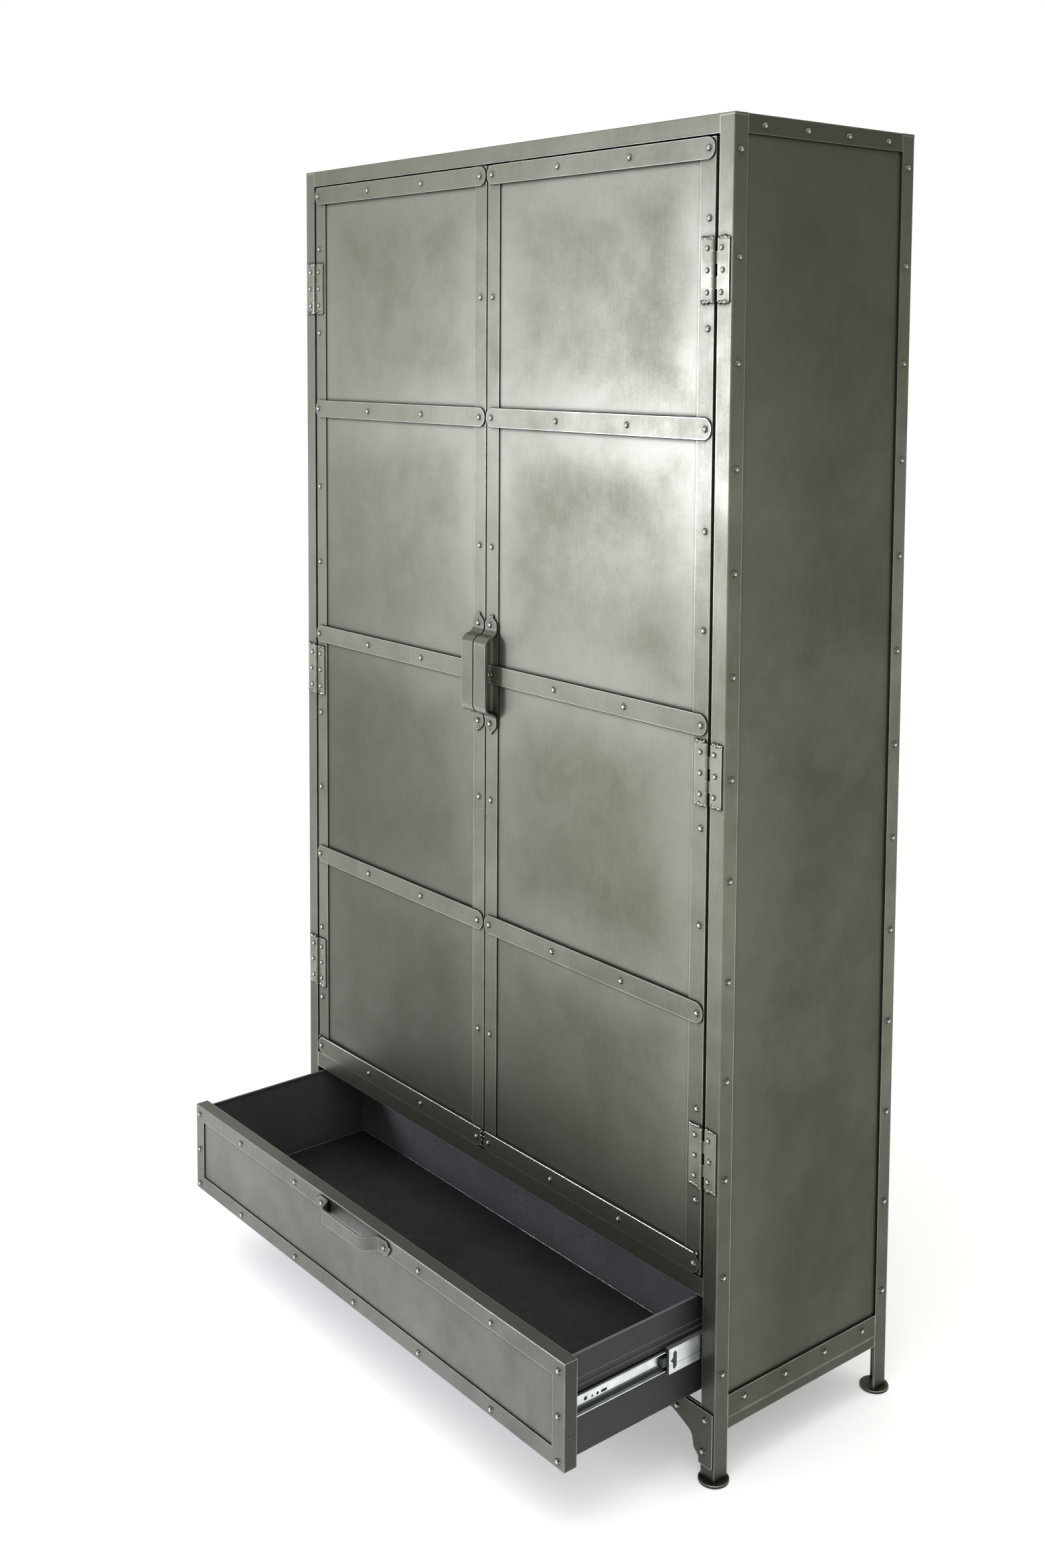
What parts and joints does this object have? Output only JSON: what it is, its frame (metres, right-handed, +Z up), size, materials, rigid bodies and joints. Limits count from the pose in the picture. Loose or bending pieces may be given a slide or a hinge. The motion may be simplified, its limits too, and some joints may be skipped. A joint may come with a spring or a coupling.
{
  "type": "two-door metal storage cabinet",
  "caption": "Tall riveted angle-iron and sheet-steel storage cabinet with two hinged doors, shelves inside and a wide bottom drawer on telescopic slides.",
  "frame": {"origin": "on the floor, under the middle of the carcass", "axes": "+Z up, -Y out of the front with the doors and the drawer, +X to the right when facing the front"},
  "size_m": [1.02, 0.6289, 1.805],
  "materials": {
    "frame_pewter": "antiqued satin, burnished edges",
    "panel_pewter": "cloudy brushed patina",
    "rivet_pewter": "burnished tops, dark edges",
    "hinge_steel": "worn satin",
    "inner_dark": "dark satin",
    "drawer_dark": "charcoal satin",
    "zinc": "bright zinc plate",
    "black_plastic": "moulded black"
  },
  "bodies": {
    "carcass": {"back_panel": "panel_pewter", "bottom_rail_front": "frame_pewter", "bottom_rail_rear": "frame_pewter", "bottom_rails_side": "frame_pewter", "deck_panel": "inner_dark", "foot_discs": "frame_pewter", "hinge_leaves_frame": "hinge_steel", "hinge_pins": "hinge_steel", "ledger_bars": "inner_dark", "leg_front_left": "frame_pewter", "leg_front_right": "frame_pewter", "leg_gussets": "frame_pewter", "leg_rear_left": "frame_pewter", "leg_rear_right": "frame_pewter", "magnetic_catches": "black_plastic", "mid_rail_front": "frame_pewter", "rivets_front": "rivet_pewter", "rivets_rear": "rivet_pewter", "rivets_side_left": "rivet_pewter", "rivets_side_right": "rivet_pewter", "shelf_lower": "inner_dark", "shelf_middle": "inner_dark", "shelf_upper": "inner_dark", "side_panel_left": "panel_pewter", "side_panel_right": "panel_pewter", "slide_outer_left": "zinc", "slide_outer_right": "zinc", "top_panel": "panel_pewter", "top_rail_front": "frame_pewter", "top_rail_rear": "frame_pewter", "top_rails_side": "frame_pewter"},
    "door_left": {"door_frame_left": "frame_pewter", "door_hinge_leaves_left": "hinge_steel", "door_panel_left": "panel_pewter", "door_pull_left": "frame_pewter", "door_rivets_left": "rivet_pewter", "door_straps_left": "frame_pewter", "door_strike_plate_left": "zinc"},
    "door_right": {"door_frame_right": "frame_pewter", "door_hinge_leaves_right": "hinge_steel", "door_panel_right": "panel_pewter", "door_pull_right": "frame_pewter", "door_rivets_right": "rivet_pewter", "door_straps_right": "frame_pewter", "door_strike_plate_right": "zinc"},
    "drawer": {"drawer_back": "drawer_dark", "drawer_bottom": "drawer_dark", "drawer_front_frame": "frame_pewter", "drawer_front_panel": "panel_pewter", "drawer_pull": "frame_pewter", "drawer_rivets": "rivet_pewter", "drawer_side_left": "drawer_dark", "drawer_side_right": "drawer_dark", "slide_inner_left": "zinc", "slide_inner_right": "zinc"},
    "slide_middle_left": {"slide_ball_cage_left": "black_plastic", "slide_middle_left": "zinc"},
    "slide_middle_right": {"slide_ball_cage_right": "black_plastic", "slide_middle_right": "zinc"}
  },
  "joints": [
    {"name": "door_left_hinge", "type": "hinge", "parent": "carcass", "child": "door_left", "pos_m": [-0.47, -0.181, 1], "axis": [0, 0, -1], "range_deg": [0, 165]},
    {"name": "door_right_hinge", "type": "hinge", "parent": "carcass", "child": "door_right", "pos_m": [0.47, -0.181, 1], "axis": [0, 0, 1], "range_deg": [0, 165]},
    {"name": "drawer_slide", "type": "slide", "parent": "carcass", "child": "drawer", "axis": [0, -1, 0], "range_m": [-0.24, 0.055]},
    {"name": "slide_left_travel", "type": "slide", "parent": "carcass", "child": "slide_middle_left", "axis": [0, -1, 0], "range_m": [-0.083, 0.019]},
    {"name": "slide_right_travel", "type": "slide", "parent": "carcass", "child": "slide_middle_right", "axis": [0, -1, 0], "range_m": [-0.083, 0.019]}
  ],
  "couplings": [
    {"joint": "slide_left_travel", "follows": "drawer_slide", "ratio": 0.34},
    {"joint": "slide_right_travel", "follows": "drawer_slide", "ratio": 0.34}
  ]
}
